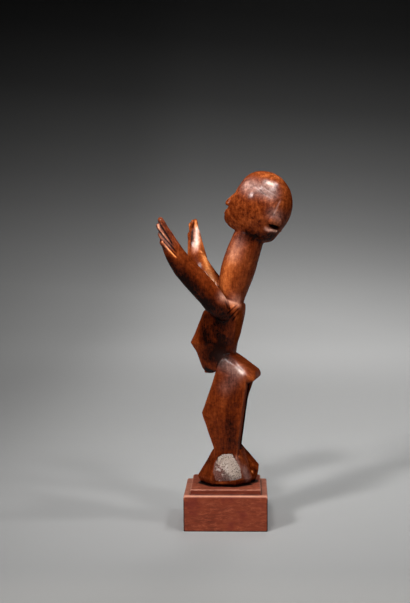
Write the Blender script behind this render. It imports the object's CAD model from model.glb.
import bpy
import bmesh
import math
import numpy as np
from mathutils import Matrix, Vector, kdtree, noise


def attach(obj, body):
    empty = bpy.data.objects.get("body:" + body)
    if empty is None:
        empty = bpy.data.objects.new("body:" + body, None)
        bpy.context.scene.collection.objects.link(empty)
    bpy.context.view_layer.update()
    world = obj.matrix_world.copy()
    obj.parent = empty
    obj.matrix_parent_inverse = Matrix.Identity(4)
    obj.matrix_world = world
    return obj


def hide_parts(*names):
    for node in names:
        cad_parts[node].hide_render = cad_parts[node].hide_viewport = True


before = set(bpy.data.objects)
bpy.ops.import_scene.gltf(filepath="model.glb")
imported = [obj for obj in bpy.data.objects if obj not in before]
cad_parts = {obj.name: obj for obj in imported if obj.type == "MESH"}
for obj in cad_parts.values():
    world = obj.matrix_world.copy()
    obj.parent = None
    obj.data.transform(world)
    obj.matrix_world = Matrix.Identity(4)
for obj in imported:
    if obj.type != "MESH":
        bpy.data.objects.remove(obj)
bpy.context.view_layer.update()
scene = bpy.context.scene
scene.view_settings.view_transform = "Standard"
mm = 0.001

# the figure's own axes: -X is its front, +Y its right side, Z the height above its sole
figureTurn = math.radians(14)
soleLevel = 27.25 * mm

# a Mix node's factor, its two colours and its result, by their places in the node's lists
mixPlaces = {"amount": 0, "below": 6, "above": 7, "result": 2}


# a wrapped socket, so that sums and products of values make their own Math nodes
class Value:
    def __init__(self, tree, socket):
        self.tree = tree
        self.socket = socket

    def maths(self, operation, other, swapped=False):
        made = self.tree.nodes.new("ShaderNodeMath")
        made.operation = operation
        for place, part in zip(made.inputs, [other, self] if swapped else [self, other]):
            if isinstance(part, Value):
                self.tree.links.new(part.socket, place)
            else:
                place.default_value = part
        return Value(self.tree, made.outputs[0])

    def __add__(self, other):
        return self.maths("ADD", other)

    def __radd__(self, other):
        return self.maths("ADD", other)

    def __sub__(self, other):
        return self.maths("SUBTRACT", other)

    def __rsub__(self, other):
        return self.maths("SUBTRACT", other, swapped=True)

    def __mul__(self, other):
        return self.maths("MULTIPLY", other)

    def __rmul__(self, other):
        return self.maths("MULTIPLY", other)

    def __truediv__(self, other):
        return self.maths("DIVIDE", other)

    def __rtruediv__(self, other):
        return self.maths("DIVIDE", other, swapped=True)


# a material whose nodes are made by name
class Finish:
    def __init__(self, name, **fixed):
        self.material = bpy.data.materials.new(name)
        self.material.use_nodes = True
        self.tree = self.material.node_tree
        self.shader = next(n for n in self.tree.nodes if n.type == "BSDF_PRINCIPLED")
        for socket, value in fixed.items():
            self.shader.inputs[socket].default_value = value

    # any node: its type, its settings, then the values or links of its sockets
    def node(self, kind, settings=None, sockets=None, out=0):
        made = self.tree.nodes.new("ShaderNode" + kind)
        for name, value in (settings or {}).items():
            if name == "stops":
                ramp = made.color_ramp.elements
                while len(ramp) < len(value):
                    ramp.new(0.5)
                for stop, (place, shade) in zip(ramp, value):
                    stop.position = place
                    stop.color = (*shade, 1) if isinstance(shade, tuple) else (shade, shade, shade, 1)
            else:
                setattr(made, name, value)
        for name, value in (sockets or {}).items():
            if isinstance(value, Value):
                self.tree.links.new(value.socket, made.inputs[name])
            else:
                made.inputs[name].default_value = value
        return Value(self.tree, made.outputs[out])

    def feed(self, **links):
        for name, value in links.items():
            self.tree.links.new(value.socket, self.shader.inputs[name.replace("_", " ")])

    # object coordinates in millimetres, turned and moved to the piece's own axes
    def place(self, turn=0.0, lift=0.0):
        point = self.node("TexCoord", out="Object")
        return self.node("Mapping", None, {"Vector": point, "Location": (0, 0, -lift / mm),
                                           "Rotation": (0, 0, turn), "Scale": (1 / mm,) * 3})

    def stretched(self, point, stretch):
        return self.node("Mapping", None, {"Vector": point, "Scale": stretch})

    def axis(self, vector, name):
        return self.node("SeparateXYZ", None, {"Vector": vector}, name)

    # noise whose patches are as large as size, in millimetres
    def cloud(self, point, size, detail, rough, twist=0.0):
        return self.node("TexNoise", {"normalize": True}, {"Vector": point, "Scale": 1 / size,
                         "Detail": detail, "Roughness": rough, "Distortion": twist}, "Fac")

    # 0 at the first limit, rising softly to 1 at the second
    def rise(self, value, low, high):
        return self.node("MapRange", {"interpolation_type": "SMOOTHSTEP"},
                         {"Value": value, "From Min": low, "From Max": high})

    def ramp(self, value, stops):
        return self.node("ValToRGB", {"stops": stops}, {"Fac": value}, "Color")

    def blend(self, amount, below, above, mode="MIX"):
        made = self.tree.nodes.new("ShaderNodeMix")
        made.data_type = "RGBA"
        made.blend_type = mode
        for name, part in (("amount", amount), ("below", below), ("above", above)):
            place = made.inputs[mixPlaces[name]]
            if isinstance(part, Value):
                self.tree.links.new(part.socket, place)
            elif isinstance(part, tuple):
                place.default_value = (*part, 1)
            else:
                place.default_value = part
        return Value(self.tree, made.outputs[mixPlaces["result"]])

    def painted(self, name):
        return self.node("Attribute", {"attribute_name": name}, None, "Fac")

    def bump(self, height, distance):
        return self.node("Bump", None, {"Height": height, "Distance": distance * mm})


# the camera stands at the photograph's viewing angle: metres, degrees, and the lens in millimetres
shot = {"place": (0.01586, -0.7631, 0.2022), "yaw": -2.2, "pitch": 4.0, "roll": 0.4,
        "lens": 68.44, "sensor": 36, "nearest": 0.01}


def setCamera():
    camera = bpy.data.objects.new("shotCamera", bpy.data.cameras.new("shotCamera"))
    scene.collection.objects.link(camera)
    camera.data.lens = shot["lens"]
    camera.data.sensor_width = shot["sensor"]
    camera.data.clip_start = shot["nearest"]
    look = (Matrix.Rotation(-math.radians(shot["yaw"]), 4, "Z")
            @ Matrix.Rotation(math.radians(90 - shot["pitch"]), 4, "X")
            @ Matrix.Rotation(-math.radians(shot["roll"]), 4, "Z"))
    camera.matrix_world = Matrix.Translation(shot["place"]) @ look
    scene.camera = camera


setCamera()
print("camera set")

# a seamless grey sweep runs all round the object: a flat floor, a curve and a wall, in metres
sweep = {
    "hub": 0.3, "flat": 1.25, "curve": 1.1, "wall": 0.9, "curveSteps": 12, "turnSteps": 72, "joinGap": 1e-5,
    "grey": (0.405, 0.403, 0.398), "gloss": {"Roughness": 0.8, "Specular IOR Level": 0.2},
    # its tone darkens with height, and a little to the right
    "toneHeight": 0.75, "toneLean": 0.1,
    "tones": [(0.04, 1.0), (0.11, 0.86), (0.19, 0.68), (0.28, 0.51), (0.37, 0.39),
              (0.47, 0.295), (0.67, 0.15), (0.89, 0.072), (1.0, 0.055)],
    # tints laid over the tones: axis, where each starts, where it is full, how much, colour
    "washes": [("X", -0.1, -0.3, 0.2, (0.0, 0.0, 0.0)),
               ("Y", -0.1, -0.17, 0.16, (2.0, 1.95, 1.85)),
               ("Y", -0.25, -0.7, 0.75, (0.0, 0.0, 0.0))],
}
# small studio lights: metres, watts, and a spread in degrees
lamps = {
    "leftFront": {"place": (-0.671, -0.859, 0.828), "aim": (0.215, 0.276, 0.04), "size": 0.16,
                  "watts": 1.08, "spread": 50},
    "overCamera": {"place": (-0.177, -0.834, 1.034), "aim": (0.04, 0.2, 0.04), "size": 0.13,
                   "watts": 0.26, "spread": 30},
    "rightHigh": {"place": (0.628, -0.18, 1.126), "aim": (0, 0, 0.06), "size": 0.13, "watts": 3.1},
    "rightFront": {"place": (0.556, -0.687, 1.004), "aim": (0, 0, 0.06), "size": 0.16, "watts": 3.8},
    "backFloor": {"place": (0.2, 1.05, 1.3), "aim": (0.12, 0.85, 0), "size": 0.3, "watts": 2.6, "spread": 80,
                  "shines": False},
    "backWall": {"place": (0.2, 1.1, 1.3), "aim": (0.12, 1.8, 0.05), "size": 0.4, "watts": 3.0, "spread": 90,
                 "shines": False},
}
studioAir = {"colour": (0.5, 0.5, 0.51), "strength": 0.14}


def addMesh(name, bm, material=None):
    mesh = bpy.data.meshes.new(name)
    bm.to_mesh(mesh)
    bm.free()
    piece = bpy.data.objects.new(name, mesh)
    scene.collection.objects.link(piece)
    if material:
        mesh.materials.append(material)
    return piece


def sweepPaper():
    paper = Finish("sweepPaper", **sweep["gloss"])
    point = paper.node("TexCoord", out="Object")
    level = paper.axis(point, "Z") + paper.axis(point, "X") * sweep["toneLean"]
    shade = paper.ramp(level / sweep["toneHeight"], sweep["tones"])
    for axis, start, full, amount, tint in sweep["washes"]:
        shade = paper.blend(paper.rise(paper.axis(point, axis), start, full) * amount, shade, tint)
    paper.feed(Base_Color=paper.blend(1.0, shade, sweep["grey"], "MULTIPLY"))
    return paper.material


def makeSweep():
    bm = bmesh.new()
    outline = [(0, 0), (sweep["hub"], 0), (sweep["flat"], 0)]
    for step in range(1, sweep["curveSteps"] + 1):
        angle = math.radians(90 * step / sweep["curveSteps"])
        outline.append((sweep["flat"] + sweep["curve"] * math.sin(angle),
                        sweep["curve"] * (1 - math.cos(angle))))
    outline.append((sweep["flat"] + sweep["curve"], sweep["curve"] + sweep["wall"]))
    line = [bm.verts.new((radius, 0, height)) for radius, height in outline]
    for start, end in zip(line, line[1:]):
        bm.edges.new((start, end))
    bmesh.ops.spin(bm, geom=bm.verts[:] + bm.edges[:], cent=(0, 0, 0), axis=(0, 0, 1),
                   angle=math.tau, steps=sweep["turnSteps"], use_merge=True)
    bmesh.ops.remove_doubles(bm, verts=bm.verts, dist=sweep["joinGap"])
    bmesh.ops.recalc_face_normals(bm, faces=bm.faces)
    if min(bm.faces, key=lambda face: face.calc_center_median().length).normal.z < 0:
        bmesh.ops.reverse_faces(bm, faces=bm.faces)
    for face in bm.faces:
        face.smooth = True
    addMesh("seamlessSweep", bm, sweepPaper())


def addLamp(name, place, aim, size, watts, spread=180, shines=True):
    lamp = bpy.data.lights.new(name, "AREA")
    lamp.shape = "SQUARE"
    lamp.size = size
    lamp.energy = watts
    lamp.spread = math.radians(spread)
    holder = bpy.data.objects.new(name, lamp)
    scene.collection.objects.link(holder)
    holder.visible_glossy = shines
    holder.location = place
    holder.rotation_euler = (Vector(place) - Vector(aim)).to_track_quat("Z", "Y").to_euler()


def fillAir():
    world = bpy.data.worlds.new("studioAir")
    world.use_nodes = True
    background = world.node_tree.nodes["Background"].inputs
    background["Color"].default_value = (*studioAir["colour"], 1)
    background["Strength"].default_value = studioAir["strength"]
    scene.world = world


makeSweep()
for name, settings in lamps.items():
    addLamp(name, **settings)
fillAir()
print("studio lit")

# the figure: the carved form, worn smooth and tooled. Sizes and places are in its own millimetres
figureLook = {
    "voxel": 0.42, "softening": 4, "mostFaces": 190000, "joinGap": 1e-6,
    # broad unevenness, and the scallops of an adze, longer upwards than across
    "unevenSize": 9, "unevenDepth": 0.125, "adzeSize": 5.5, "adzeStretch": 0.6, "adzeDepth": 0.17,
    # how fast a mark made from one side fades where the wood turns away from it
    "sideSharpness": 3, "sideStart": 0.3,
    # the smoothings that ridges and hollows are measured against, and the polish where nothing adds to it
    "ridgePasses": 10, "hollowPasses": 50, "restingPolish": 0.3,
    # how quickly a painted patch falls off, and how a straight mark narrows towards its ends
    "fallOff": 1.2, "taperRise": 5, "taperEnd": 0.25,
    # parts that are worn rounder than the rest, and parts among them that stay crisp
    "wearSpread": 1.6,
    "worn": [
        {"middle": (24, 0, 186), "reach": (24, 20, 25), "passes": 26},
        {"middle": (8, 0, 140), "reach": (16, 16, 26), "passes": 30},
        {"middle": (-2, 0, 103), "reach": (24, 20, 24), "passes": 14},
        {"middle": (8, 0, 78), "reach": (20, 20, 14), "passes": 12},
    ],
    "crisp": [
        {"middle": (3, 0, 178), "reach": (9, 16, 20)},
        {"middle": (38, -11, 176), "reach": (9, 9, 9)},
        {"middle": (38, 11, 176), "reach": (9, 9, 9)},
    ],
    # marks: from [x, z], to [x, z], half width, depth. The grooves are on the left side, the others on both
    "fingerGrooves": [
        ((-36.4, 175.0), (-26.5, 159.8), 0.5, 0.35),
        ((-36.6, 169.6), (-24.5, 155.3), 0.5, 0.4),
        ((-34.8, 163.7), (-23.9, 152.1), 0.5, 0.4),
    ],
    "shoulderCuts": [
        ((5.1, 123.7), (6.9, 117.0), 0.5, 0.35),
        ((12.6, 118.5), (6.6, 111.5), 0.4, 0.22),
        ((12.8, 116.0), (8.0, 109.6), 0.4, 0.2),
        ((11.0, 120.3), (5.6, 114.6), 0.4, 0.22),
    ],
    "headScratches": [
        ((28.6, 193.6), (35.8, 189.0), 0.38, 0.18),
        ((24.2, 197.0), (32.6, 190.8), 0.38, 0.18),
        ((40.5, 188.5), (36.2, 178.4), 0.38, 0.18),
        ((29.8, 196.4), (37.4, 191.4), 0.3, 0.12),
    ],
    # where the wood is paler or darker than the rest: from, to, reach, how much
    "shade": [
        ((20, 0, 186), (36, 0, 188), 20, 0.12),
        ((24, -6, 205), (38, -5, 203), 7, 0.18),
        ((14, -10, 166), (36, -6, 162), 6, -0.3),
        ((47, -2, 196), (45, -2, 170), 5, -0.12),
        ((9, -12, 158), (-1, -12, 128), 7, 0.38),
        ((19, -6, 160), (11, -6, 130), 5, 0.12),
        ((-36, -31, 176), (-26, -31, 160), 5, 0.05),
        ((-37.5, -29, 174), (-33, -29, 158), 2, -0.3),
        ((-34, -30, 162), (-24.5, -30.5, 152), 0.9, 0.7),
        ((-36, -30, 171), (-28, -31, 159), 0.8, 0.35),
        ((-26, -31, 156), (-6, -25, 138), 4, 0.02),
        ((-32, -28, 149), (-11, -23, 118), 6.8, -0.34),
        ((-2, -22, 122), (6, -15, 114), 7, -0.2),
        ((-18, -27, 140), (-4, -20, 121), 5, -0.2),
        ((-27, 26, 170), (-27.5, 25, 153), 2.8, 0.75),
        ((-30.7, 26.5, 172), (-30.7, 24.5, 153), 0.8, -0.4),
        ((-33, 26, 172), (-33, 24, 150), 2.2, 0.2),
        ((-25.5, 24.5, 154.5), (-21, 23, 153.5), 0.8, 0.4),
        ((-22, 25, 162), (-21, 24, 150), 3, 0.3),
        ((-20, 21, 150), (-12, 14, 133), 3.5, 0.5),
        ((-15, 23, 148), (-7, 17, 132), 1.6, -0.3),
        ((3, -18, 125), (13, -8, 121), 4, 0.45),
        ((8, -13, 119), (10, -9, 112), 3, 0.25),
        ((-2, -12, 112), (1, -12, 93), 8, -0.34),
        ((10, -6, 110), (10, -6, 94), 4, 0.1),
        ((-13, -8, 84), (0, -10, 84), 6, -0.2),
        ((-13, -9, 110), (-12, -8, 96), 5, -0.3),
        ((-2, -14, 84), (6, -14, 84), 6, -0.16),
        ((12, -15, 80), (22, -12, 73), 5, 0.2),
        ((5, 14, 68), (8, 14, 20), 8, -0.2),
        ((4, -14, 40), (6, -14, 24), 9, -0.1),
        ((0, 10, 16), (18, 2, 8), 8, -0.15),
        ((19, -8, 68), (13, -6, 28), 4, -0.45),
        ((3, -15, 68), (2, -15, 35), 2, 0.12),
        ((11, -14, 66), (9, -14, 30), 4, -0.08),
        ((-10, -12, 17), (-12, -10, 6), 5, -0.08),
        ((-12, -5, 76), (-8, -5, 75), 2.5, -0.6),
        ((31, -12, 169.5), (38, -6, 168), 1.4, 0.4),
        ((32.8, -12, 199.4), (35.2, -11.5, 198.3), 1.5, 0.7),
        ((13.5, -15, 77.4), (15.2, -14.5, 75.8), 1.1, 0.5),
        ((-10, -8, 92), (-6, -12, 86), 5, -0.18),
        ((6, -14, 58), (5, -14, 36), 5, -0.13),
        ((8, -15, 73), (4, -15, 66), 5, -0.08),
        ((15, 0, 15), (19, 4, 11), 3, 0.14),
        ((-2, -15, 82), (2, -15, 78), 4, -0.08),
        ((-4, -15, 2.2), (4, -15, 2), 0.9, 0.3),
        ((12.2, -12.4, 20), (18, 1.1, 7.3), 0.6, 0.45),
        ((13.4, -7, 19), (17.4, 3, 9.4), 0.4, 0.3),
        ((14.2, -3, 19), (18.2, 4.2, 10.6), 0.4, 0.3),
        ((14, 1, 18.6), (18.6, 5.6, 12), 0.4, 0.3),
        ((10.8, -14, 20), (13, -12.4, 12), 0.9, 0.2),
        ((-36.6, -30.1, 173), (-36.2, -30, 171.4), 0.8, 0.6),
        ((-35.6, -30, 166), (-33.4, -30, 162), 0.6, 0.4),
        ((-32, -30, 173), (-28, -30, 165), 1.6, -0.14),
        ((-28.1, 27, 175), (-28.3, 26.9, 171), 1.2, 0.4),
        ((-29.8, 27, 174), (-30.6, 25.4, 162), 0.6, -0.4),
        ((10, -14, 16), (-8, -12, 16), 4, -0.05),
        ((17.9, 0.8, 7.4), (18.6, 1.2, 6.2), 0.6, 0.8),
    ],
    # where handling has left a greyish pink bloom
    "bloom": [
        ((0, -15, 84), (12, -15, 77), 5, 0.35),
        ((20, -12, 197), (34, -13, 193), 5, 0.6),
        ((11, -12, 161), (8, -12, 154), 6, 0.2),
        ((-37, -31, 172), (-30, -31, 160), 3, 0.25),
        ((-27, 26, 170), (-27.5, 25, 153), 1.9, 1.0),
        ((31, -12, 200), (36, -11, 198), 2.0, 0.8),
        ((11.5, -15, 79.5), (15.5, -14, 75.5), 1.4, 0.8),
        ((31, -12, 169.5), (38, -6, 168), 1.4, 0.5),
        ((3, -18, 126), (13, -8, 122), 3.5, 0.4),
        ((8, -15, 70), (4, -15, 66), 5, 0.12),
        ((36, -14, 180), (42, -12, 176), 4, 0.25),
        ((14.9, -9.8, 11), (16.5, -7, 4), 2.2, 0.4),
        ((10.7, -14, 19), (12.6, -12.4, 13), 1.6, 0.25),
    ],
    # where handling has polished the wood, or left it duller
    "polish": [
        ((30, -12, 201), (36, -11, 197), 6, 0.8),
        ((9, -15, 81), (17, -14, 74.5), 3, 0.8),
        ((20, 0, 203), (42, 0, 200), 9, 0.15),
        ((-20, -23, 154), (2, -18, 128), 6, -0.6),
        ((15, -9, 163), (10, -10, 158), 6, -0.5),
        ((20, -8, 70), (14, -8, 28), 4, -0.6),
        ((13, 14, 24), (18, 4, 8), 7, -0.4),
        ((10, -4, 112), (10, -4, 94), 4, -0.3),
        ((14, 12, 68), (10, 12, 24), 10, -0.6),
        ((10, -10, 120), (14, 0, 92), 6, -0.3),
        ((-20, 20, 150), (-17, 17, 144), 4, -0.5),
    ],
    # the worn facet of the near foot, seen from the side
    "bare": {"corners": [(1.4, 21.2), (8.0, 21.7), (12.8, 12.9), (13.7, 5.4), (6.5, 3.7), (-2.7, 3.4),
                         (-4.6, 10.1), (-3.8, 14.7), (-1.5, 18.7)], "edge": 3.0},
}


def ownAxes(points):
    cosine, sine = math.cos(figureTurn), math.sin(figureTurn)
    x, y, z = points.T
    turned = (x * cosine - y * sine, x * sine + y * cosine, z - soleLevel)
    return np.stack(turned, axis=1) / mm


def readPoints(mesh):
    points = np.empty(len(mesh.vertices) * 3)
    mesh.vertices.foreach_get("co", points)
    return points.reshape(-1, 3)


def readNormals(mesh):
    normals = np.empty(len(mesh.vertices) * 3)
    mesh.vertex_normals.foreach_get("vector", normals)
    return normals.reshape(-1, 3)


def writePoints(mesh, points):
    mesh.vertices.foreach_set("co", points.ravel())
    mesh.update()


def readEdges(mesh):
    edges = np.empty(len(mesh.edges) * 2, dtype=np.int64)
    mesh.edges.foreach_get("vertices", edges)
    return edges.reshape(-1, 2)


# each value moves towards the mean of its neighbours, by its own share
def soften(values, edges, passes, share=0.5):
    count = np.maximum(np.bincount(edges.ravel(), minlength=len(values)), 1)[:, None]
    flat = values.ndim == 1
    values = values[:, None] if flat else values
    for _ in range(passes):
        total = np.stack([np.bincount(edges[:, 0], column[edges[:, 1]], len(values))
                          + np.bincount(edges[:, 1], column[edges[:, 0]], len(values))
                          for column in values.T], axis=1)
        values = values + share * (total / count - values)
    return values[:, 0] if flat else values


def paint(mesh, name, values):
    layer = mesh.attributes.new(name, "FLOAT", "POINT")
    layer.data.foreach_set("value", values.astype(np.float32))


def applyModifiers(piece):
    ready = bpy.data.meshes.new_from_object(piece.evaluated_get(bpy.context.evaluated_depsgraph_get()))
    piece.modifiers.clear()
    piece.data = ready
    return ready


# 1 in the middle of a patch, falling to 0 outside it
def patch(local, middle, reach):
    return np.exp(-(((local - middle) / reach) ** 2).sum(1) * figureLook["fallOff"])


# patches drawn as thick soft lines through space, added up
def shaded(local, lines):
    total = np.zeros(len(local))
    for start, end, reach, amount in lines:
        start, run = np.array(start), np.array(end) - np.array(start)
        share = np.clip((local - start) @ run / (run @ run), 0, 1)
        gap = np.linalg.norm(local - start - share[:, None] * run, axis=1)
        total += amount * np.exp(-figureLook["fallOff"] * (gap / reach) ** 2)
    return total


# 1 inside a flat many-sided area seen from the side, 0 outside it
def inside(local, corners, edge):
    least = np.full(len(local), np.inf)
    for start, end in zip(corners, corners[1:] + corners[:1]):
        run = np.array(end) - np.array(start)
        across = (local[:, 0] - start[0]) * -run[1] + (local[:, 2] - start[1]) * run[0]
        least = np.minimum(least, -across / np.linalg.norm(run))
    return np.clip(least / edge + 0.5, 0, 1)


# 1 along a straight mark seen from the side, 0 beyond its width
def along(local, start, end, width):
    start, end = np.array(start), np.array(end)
    flat = local[:, [0, 2]]
    share = np.clip((flat - start) @ (end - start) / ((end - start) @ (end - start)), 0, 1)
    gap = np.linalg.norm(flat - start - share[:, None] * (end - start), axis=1)
    taper = np.minimum(1, figureLook["taperRise"] * np.minimum(share, 1 - share) + figureLook["taperEnd"])
    return np.exp(-(gap / width) ** 2) * taper


def wear(points, edges, local):
    spread = figureLook["wearSpread"]
    for part in figureLook["worn"]:
        share = np.clip(spread * patch(local, part["middle"], part["reach"]), 0, 1)
        for crisp in figureLook["crisp"]:
            share = share * (1 - np.clip(spread * patch(local, crisp["middle"], crisp["reach"]), 0, 1))
        points = soften(points, edges, part["passes"], 0.5 * share[:, None])
    return points


# broad unevenness and adze scallops, as a push outwards in millimetres
def unevenness(local):
    size, stretch = figureLook["adzeSize"], figureLook["adzeStretch"]
    broad = np.array([noise.noise(Vector(p) / figureLook["unevenSize"]) for p in local])
    scallop = np.array([noise.voronoi(Vector((p[0], p[1], p[2] * stretch)) / size)[0][0] for p in local])
    return figureLook["unevenDepth"] * broad - figureLook["adzeDepth"] * (1 - scallop) ** 2


# 1 where the wood faces the figure's left, or its right with way 1, and lies on that side
def facing(normals, local, way=-1):
    sideways = normals @ np.array((math.sin(figureTurn), math.cos(figureTurn), 0))
    turned = np.clip(way * sideways * figureLook["sideSharpness"] - figureLook["sideStart"], 0, 1)
    return turned * (way * local[:, 1] > 0)


def makeFigure():
    bm = bmesh.new()
    bm.from_mesh(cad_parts["figure"].data)
    bmesh.ops.remove_doubles(bm, verts=bm.verts, dist=figureLook["joinGap"])
    figure = addMesh("carvedFigure", bm)
    remesh = figure.modifiers.new("fine", "REMESH")
    remesh.mode = "VOXEL"
    remesh.voxel_size = figureLook["voxel"] * mm
    mesh = applyModifiers(figure)
    points, edges = readPoints(mesh), readEdges(mesh)
    print("figure remeshed", len(points))
    points = soften(points, edges, figureLook["softening"])
    points = wear(points, edges, ownAxes(points))
    writePoints(mesh, points)
    normals, local = readNormals(mesh), ownAxes(points)
    push = unevenness(local)
    leftSide = facing(normals, local)
    bothSides = leftSide + facing(normals, local, way=1)
    cuts, scratched = np.zeros(len(local)), np.zeros(len(local))
    for start, end, width, depth in figureLook["fingerGrooves"]:
        cuts += along(local, start, end, width) * depth * leftSide
    for start, end, width, depth in figureLook["shoulderCuts"]:
        cuts += along(local, start, end, width) * depth * bothSides
    for start, end, width, depth in figureLook["headScratches"]:
        mark = along(local, start, end, width)
        scratched += mark * bothSides
        cuts += mark * depth * bothSides
    points = points + normals * ((push - cuts) * mm)[:, None]
    writePoints(mesh, points)
    normals = readNormals(mesh)
    near = soften(points, edges, figureLook["ridgePasses"])
    paint(mesh, "ridge", ((points - near) * normals).sum(1) / mm)
    far = soften(near, edges, figureLook["hollowPasses"])
    paint(mesh, "hollow", np.clip(((far - near) * normals).sum(1) / mm, -1, 1))
    paint(mesh, "cut", cuts)
    paint(mesh, "scratch", np.clip(scratched, 0, 1))
    paint(mesh, "shade", shaded(local, figureLook["shade"]))
    paint(mesh, "bloom", np.clip(shaded(local, figureLook["bloom"]), 0, 1))
    paint(mesh, "polish", np.clip(shaded(local, figureLook["polish"]) + figureLook["restingPolish"], 0, 1))
    paint(mesh, "bare", inside(local, **figureLook["bare"]) * leftSide)
    for face in mesh.polygons:
        face.use_smooth = True
    thin = figure.modifiers.new("thin", "DECIMATE")
    thin.ratio = min(1.0, figureLook["mostFaces"] / (2 * len(mesh.polygons)))
    mesh = applyModifiers(figure)
    print("figure tooled", len(mesh.polygons))
    return figure


# the figure's wood. A cloud is its size, detail, roughness and twist, and limits say where a change starts
# and where it is full
oiledLook = {
    "gloss": {"IOR": 1.5, "Specular IOR Level": 0.0, "Coat Roughness": 0.22, "Coat IOR": 1.5},
    "patches": (8, 4, 0.6, 0.5), "blotches": (2.4, 4, 0.7, 0.3), "grain": (0.9, 4, 0.65),
    "grainStretch": (1, 1, 0.16),
    "headLimits": (155, 168), "hollowLimits": (0.08, 0.6), "soleLimits": (2.2, 0.7),
    # the tone, and how much each thing changes it, on the head too where it differs
    "tone": 0.33, "patchy": 0.42, "headPatchy": 0.35, "blotchy": 0.5, "headBlotchy": 0.4, "grainy": 0.4,
    "ridgePale": 0.8, "hollowDark": 0.3, "cutDark": 1.2, "scratchPale": 0.35, "soleDark": 0.3,
    "shades": [(0.0, (0.006, 0.0013, 0.0007)), (0.15, (0.046, 0.0065, 0.0015)),
               (0.3, (0.105, 0.0155, 0.003)), (0.5, (0.205, 0.039, 0.0085)),
               (0.7, (0.42, 0.1, 0.022)), (0.95, (0.78, 0.28, 0.09))],
    "bloomDark": (0.13, 0.07, 0.06), "bloomPale": (0.9, 0.74, 0.68), "bloomLeast": 0.3, "scratchBloom": 0.25,
    "rough": 0.42, "grainLimits": (0.3, 0.7), "grainGloss": 0.12, "scratchRough": 0.2, "coat": 0.65,
    "grainRelief": 0.4, "blotchRelief": 0.6, "relief": 0.22,
}
# the bare facet: reddish low down, whiter up and back, with a dark band, white patches and dark specks
facetLook = {
    "low": (0.17, 0.07, 0.055), "high": (0.43, 0.34, 0.285), "highLean": (0.7, 0.5), "highRagged": 9,
    "highLimits": (5.5, 9.5),
    "band": (0.09, 0.07, 0.062), "bandLean": 0.4, "bandRagged": 4,
    "bandLimits": (12, 10), "bandSide": (0, 3), "bandAmount": 0.55,
    "white": (0.7, 0.6, 0.54), "whiteRagged": 1.5, "whiteLimits": (0.6, 0.8), "whiteAmount": 0.5,
    "speck": (0.03, 0.014, 0.009), "specks": (0.8, 3, 0.75), "speckLimits": (0.53, 0.6), "speckAmount": 0.85,
    "edgeRagged": 0.5, "edgeLimits": (0.4, 0.55),
}


def facetColour(wood, point, patches, blotches):
    across, height = wood.axis(point, "X"), wood.axis(point, "Z")
    ragged = blotches - 0.5
    leanAcross, leanUp = facetLook["highLean"]
    high = wood.rise(across * leanAcross + height * leanUp + ragged * facetLook["highRagged"],
                     *facetLook["highLimits"])
    band = wood.rise(across * facetLook["bandLean"] + height + ragged * facetLook["bandRagged"],
                     *facetLook["bandLimits"]) * wood.rise(across, *facetLook["bandSide"])
    white = wood.rise(patches + ragged * facetLook["whiteRagged"], *facetLook["whiteLimits"])
    speck = wood.rise(wood.cloud(point, *facetLook["specks"]), *facetLook["speckLimits"])
    colour = wood.blend(high, facetLook["low"], facetLook["high"])
    colour = wood.blend(band * facetLook["bandAmount"], colour, facetLook["band"])
    colour = wood.blend(white * facetLook["whiteAmount"], colour, facetLook["white"])
    return wood.blend(speck * facetLook["speckAmount"], colour, facetLook["speck"])


def oiledWood():
    look = oiledLook
    wood = Finish("oiledWood", **look["gloss"])
    point = wood.place(figureTurn, soleLevel)
    height = wood.axis(point, "Z")
    patches = wood.cloud(point, *look["patches"])
    blotches = wood.cloud(point, *look["blotches"])
    grain = wood.cloud(wood.stretched(point, look["grainStretch"]), *look["grain"])
    bloom, scratch = wood.painted("bloom"), wood.painted("scratch")
    onHead = wood.rise(height, *look["headLimits"])
    tone = ((patches - 0.5) * (look["patchy"] + onHead * look["headPatchy"])
            + (blotches - 0.5) * (look["blotchy"] + onHead * look["headBlotchy"])
            + (grain - 0.5) * look["grainy"] + look["tone"])
    tone = tone + wood.painted("ridge") * look["ridgePale"]
    tone = tone - wood.rise(wood.painted("hollow"), *look["hollowLimits"]) * look["hollowDark"]
    tone = tone - wood.painted("cut") * look["cutDark"] + scratch * look["scratchPale"]
    tone = tone + wood.painted("shade") - wood.rise(height, *look["soleLimits"]) * look["soleDark"]
    pale = wood.blend(tone, look["bloomDark"], look["bloomPale"])
    pallor = bloom * (look["bloomLeast"] + blotches) + scratch * look["scratchBloom"]
    colour = wood.blend(pallor, wood.ramp(tone, look["shades"]), pale)
    raggedBare = wood.painted("bare") + (blotches - 0.5) * facetLook["edgeRagged"]
    bare = wood.rise(raggedBare, *facetLook["edgeLimits"])
    colour = wood.blend(bare, colour, facetColour(wood, point, patches, blotches))
    smoother = wood.rise(grain, *look["grainLimits"]) * look["grainGloss"]
    relief = grain * look["grainRelief"] + blotches * look["blotchRelief"]
    wood.feed(Base_Color=colour, Roughness=look["rough"] - smoother + scratch * look["scratchRough"],
              Normal=wood.bump(relief, look["relief"]),
              Coat_Weight=(1 - bloom) * (1 - bare) * wood.painted("polish") * look["coat"])
    return wood.material


figure = makeFigure()
figure.data.materials.clear()
figure.data.materials.append(oiledWood())
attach(figure, "root")
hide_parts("figure")
print("figure done")

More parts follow.
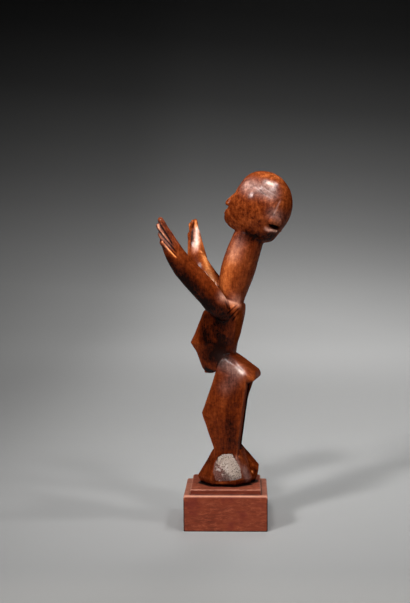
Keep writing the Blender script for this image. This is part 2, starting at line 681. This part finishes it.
# the plinth: a block with a lower step, its edges rubbed pale. Sizes are in millimetres
plinthLook = {
    "width": 55, "block": 23.05, "tread": 4.35, "step": 3.9, "sunk": 3, "edge": 0.45, "edgeSegments": 2,
    # the mesh's voxels, its wear, and the broad unevenness, which leaves the lowest part flat
    "voxel": 0.5, "softening": 1, "unevenSize": 7, "unevenDepth": 0.12, "flatFoot": 0.6, "ridgePasses": 6,
    # the dark line on the step round the foot, which the foot's lowest part makes
    "footHeight": 2.2, "grime": 2.4, "grimeBelow": 0.5,
    # the wood: clouds are size, detail and roughness, each with its stretch, and limits are as on the figure
    "gloss": {"IOR": 1.48, "Specular IOR Level": 0.25},
    "bands": (2.2, 4, 0.6), "bandStretch": (0.1, 0.1, 1),
    "grain": (0.6, 4, 0.7), "grainStretch": (0.14, 0.14, 1),
    "patches": (14, 3, 0.6), "mottles": (1.6, 5, 0.8), "mottleStretch": (0.3, 0.3, 1),
    "tone": -0.05, "banded": 0.35, "grainy": 0.4, "patchy": 0.35,
    "shades": [(0.25, (0.08, 0.011, 0.004)), (0.5, (0.18, 0.03, 0.011)), (0.75, (0.3, 0.062, 0.022))],
    "mottle": (0.4, 0.1, 0.045), "mottleLimits": (0.47, 0.66), "mottleAmount": 0.6,
    "crimson": (0.12, 0.009, 0.007), "crimsonRagged": 0.5,
    "crimsonLimits": (0.78, 0.92), "crimsonAmount": 0.6,
    # the tops are paler, most of all the ledge in front of the step
    "top": (0.8, 0.36, 0.24), "topLimits": (0.6, 0.95), "topAmount": 0.05, "frontLimits": (-21.5, -24),
    "frontAmount": 0.6, "ledgeLimits": (25, 23.6), "ledgeAmount": 0.25, "ledgeRagged": 0.35,
    "riser": (0.05, 0.008, 0.004), "riserLimits": (23.2, 23.8), "riserAmount": 0.35,
    # edges are rubbed pale high up, and dark lower down, as hollows are
    "rubbed": (0.62, 0.27, 0.18), "rubbedHeight": (19, 22.4), "rubbedLimits": (0.05, 0.2),
    "rubbedMottle": (0.3, 0.55), "rubbedAmount": 0.85,
    "dusk": (0.008, 0.003, 0.002), "hollowLimits": (0.04, 0.2), "hollowAmount": 0.8,
    "contactLimits": (0.2, 0.75), "lowEdgeLimits": (0.03, 0.11), "lowEdgeAmount": 0.9,
    "rough": 0.52, "grainLimits": (0.35, 0.65), "grainGloss": 0.12, "relief": 0.12,
}


def easedBlock(bm, width, low, high):
    made = bmesh.ops.create_cube(bm, size=1)["verts"]
    bmesh.ops.scale(bm, vec=(width * mm, width * mm, (high - low) * mm), verts=made)
    bmesh.ops.translate(bm, vec=(0, 0, (high + low) / 2 * mm), verts=made)
    edges = list({edge for vert in made for edge in vert.link_edges})
    bmesh.ops.bevel(bm, geom=edges, offset=plinthLook["edge"] * mm, affect="EDGES",
                    segments=plinthLook["edgeSegments"], profile=0.5, material=-1)


# 1 where the figure's foot stands on the step, falling off round it
def standingMarks(points):
    sole = [Vector(p) for p in readPoints(figure.data) if p[2] < soleLevel + plinthLook["footHeight"] * mm]
    tree = kdtree.KDTree(len(sole))
    for place, p in enumerate(sole):
        tree.insert(p, place)
    tree.balance()
    lowest, farAway = soleLevel - plinthLook["grimeBelow"] * mm, 1
    gaps = np.array([tree.find(Vector(p))[2] if p[2] > lowest else farAway for p in points])
    return np.exp(-(gaps / (plinthLook["grime"] * mm)) ** 2)


def makePlinth():
    bm = bmesh.new()
    block, step = plinthLook["block"], plinthLook["step"]
    easedBlock(bm, plinthLook["width"], 0, block)
    easedBlock(bm, plinthLook["width"] - 2 * plinthLook["tread"], block - plinthLook["sunk"], block + step)
    plinth = addMesh("steppedPlinth", bm)
    remesh = plinth.modifiers.new("fine", "REMESH")
    remesh.mode = "VOXEL"
    remesh.voxel_size = plinthLook["voxel"] * mm
    mesh = applyModifiers(plinth)
    points, edges = readPoints(mesh), readEdges(mesh)
    points = soften(points, edges, plinthLook["softening"])
    wobble = np.array([noise.noise(Vector(p) / mm / plinthLook["unevenSize"]) for p in points])
    standing = points[:, 2] > plinthLook["flatFoot"] * mm
    writePoints(mesh, points)
    normals = readNormals(mesh)
    points = points + normals * (np.minimum(wobble, 0) * plinthLook["unevenDepth"] * mm * standing)[:, None]
    writePoints(mesh, points)
    near = soften(points, edges, plinthLook["ridgePasses"])
    paint(mesh, "ridge", ((points - near) * readNormals(mesh)).sum(1) / mm)
    paint(mesh, "contact", standingMarks(points))
    for face in mesh.polygons:
        face.use_smooth = True
    print("plinth worn", len(mesh.polygons))
    return plinth


def plinthWood():
    look = plinthLook
    wood = Finish("plinthWood", **look["gloss"])
    point = wood.place()
    height = wood.axis(point, "Z")
    bands = wood.cloud(wood.stretched(point, look["bandStretch"]), *look["bands"])
    grain = wood.cloud(wood.stretched(point, look["grainStretch"]), *look["grain"])
    patches = wood.cloud(point, *look["patches"])
    mottles = wood.cloud(wood.stretched(point, look["mottleStretch"]), *look["mottles"])
    ridge = wood.painted("ridge")
    tone = bands * look["banded"] + grain * look["grainy"] + patches * look["patchy"] + look["tone"]
    colour = wood.ramp(tone, look["shades"])
    mottled = wood.rise(mottles, *look["mottleLimits"])
    colour = wood.blend(mottled * look["mottleAmount"], colour, look["mottle"])
    crimson = wood.rise(patches + mottles * look["crimsonRagged"], *look["crimsonLimits"])
    colour = wood.blend(crimson * look["crimsonAmount"], colour, look["crimson"])
    top = wood.rise(wood.axis(wood.node("NewGeometry", out="Normal"), "Z"), *look["topLimits"])
    front = wood.rise(wood.axis(point, "Y"), *look["frontLimits"])
    ledge = wood.rise(height, *look["ledgeLimits"]) * (front * look["frontAmount"] + look["ledgeAmount"])
    paleTop = top * (ledge * (mottles + look["ledgeRagged"]) + look["topAmount"])
    colour = wood.blend(paleTop, colour, look["top"])
    riser = wood.rise(height, *look["riserLimits"]) * (1 - top)
    colour = wood.blend(riser * look["riserAmount"], colour, look["riser"])
    high = wood.rise(height, *look["rubbedHeight"])
    rubbed = wood.rise(ridge, *look["rubbedLimits"]) * wood.rise(mottles, *look["rubbedMottle"]) * high
    colour = wood.blend(rubbed * look["rubbedAmount"], colour, look["rubbed"])
    dusk = wood.rise(ridge * -1, *look["hollowLimits"]) * look["hollowAmount"]
    dusk = dusk + wood.rise(wood.painted("contact"), *look["contactLimits"])
    dusk = dusk + wood.rise(ridge, *look["lowEdgeLimits"]) * (1 - high) * look["lowEdgeAmount"]
    colour = wood.blend(wood.rise(dusk, 0, 1), colour, look["dusk"])
    smoother = wood.rise(grain, *look["grainLimits"]) * look["grainGloss"]
    wood.feed(Base_Color=colour, Roughness=look["rough"] - smoother, Normal=wood.bump(grain, look["relief"]))
    return wood.material


plinth = makePlinth()
plinth.data.materials.clear()
plinth.data.materials.append(plinthWood())
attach(plinth, "root")
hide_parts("plinth")
print("plinth done")
